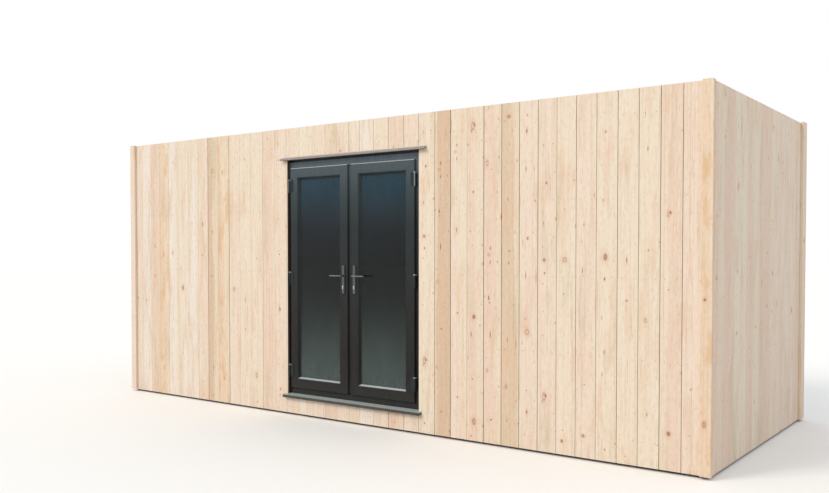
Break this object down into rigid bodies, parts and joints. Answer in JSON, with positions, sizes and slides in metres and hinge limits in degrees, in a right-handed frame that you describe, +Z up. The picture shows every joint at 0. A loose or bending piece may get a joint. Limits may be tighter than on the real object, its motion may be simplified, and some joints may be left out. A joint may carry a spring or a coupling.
{
  "type": "portable cabin",
  "caption": "Flat-topped portable cabin with a steel frame, clad in upright larch boards, with hinged glazed double doors in the long front wall.",
  "frame": {"origin": "on the ground under the middle of the plan", "axes": "+X to the right along the front wall, the front wall with the doors faces -Y, +Z up"},
  "size_m": [6.15, 2.549, 2.6],
  "materials": {
    "frame_steel": "painted",
    "roof_steel": "painted",
    "plywood": "sealed",
    "lining": "painted",
    "softwood": "sawn",
    "larch": "planed",
    "larch_trim": "planed",
    "door_profile": "satin foil",
    "bead_profile": "satin foil",
    "cill_profile": "satin foil",
    "drip_metal": "painted",
    "glass": "clear",
    "hinge_metal": "satin",
    "handle_metal": "satin",
    "lever_metal": "satin",
    "cylinder_metal": "polished"
  },
  "bodies": {
    "cabin": {"base_rails": "frame_steel", "floor_joists": "frame_steel", "feet": "frame_steel", "corner_posts": "frame_steel", "roof_rails": "frame_steel", "roof_joists": "frame_steel", "floor_deck": "plywood", "roof_sheet": "roof_steel", "ceiling_lining": "lining", "wall_front_left": "lining", "wall_front_right": "lining", "wall_over_door": "lining", "wall_rear": "lining", "wall_left_end": "lining", "wall_right_end": "lining", "battens": "softwood", "cladding_front_left": "larch", "cladding_front_right": "larch", "cladding_over_door": "larch", "cladding_under_door": "larch", "cladding_rear": "larch", "cladding_left_end": "larch", "cladding_right_end": "larch", "corner_trims_front": "larch_trim", "corner_trims_rear": "larch_trim", "door_frame_sill": "door_profile", "door_frame_right_jamb": "door_profile", "door_frame_head": "door_profile", "door_frame_left_jamb": "door_profile", "head_drip": "drip_metal", "cill": "cill_profile", "left_hinge_seats": "hinge_metal", "right_hinge_seats": "hinge_metal"},
    "left_leaf": {"left_sash": "door_profile", "left_glazing_beads": "bead_profile", "left_glass": "glass", "left_hinge_flags": "hinge_metal", "left_handle_plates": "handle_metal", "left_cylinder": "cylinder_metal", "floating_mullion": "door_profile"},
    "left_handle": {"left_lever": "lever_metal"},
    "right_leaf": {"right_sash": "door_profile", "right_glazing_beads": "bead_profile", "right_glass": "glass", "right_hinge_flags": "hinge_metal", "right_handle_plates": "handle_metal", "right_cylinder": "cylinder_metal"},
    "right_handle": {"right_lever": "lever_metal"}
  },
  "joints": [
    {"name": "left_door", "type": "hinge", "parent": "cabin", "child": "left_leaf", "pos_m": [-0.745, -1.238, 1.244], "axis": [0, 0, -1], "range_deg": [0, 90]},
    {"name": "left_lever_turn", "type": "hinge", "parent": "left_leaf", "child": "left_handle", "pos_m": [-0.102, -1.241, 1.272], "axis": [0, -1, 0], "range_deg": [0, 45], "stiffness_Nm_per_rad": 1, "springref_deg": -34.38},
    {"name": "right_door", "type": "hinge", "parent": "cabin", "child": "right_leaf", "pos_m": [0.665, -1.238, 1.244], "axis": [0, 0, 1], "range_deg": [0, 90]},
    {"name": "right_lever_turn", "type": "hinge", "parent": "right_leaf", "child": "right_handle", "pos_m": [0.022, -1.241, 1.272], "axis": [0, 1, 0], "range_deg": [0, 45], "stiffness_Nm_per_rad": 1, "springref_deg": -34.38}
  ]
}
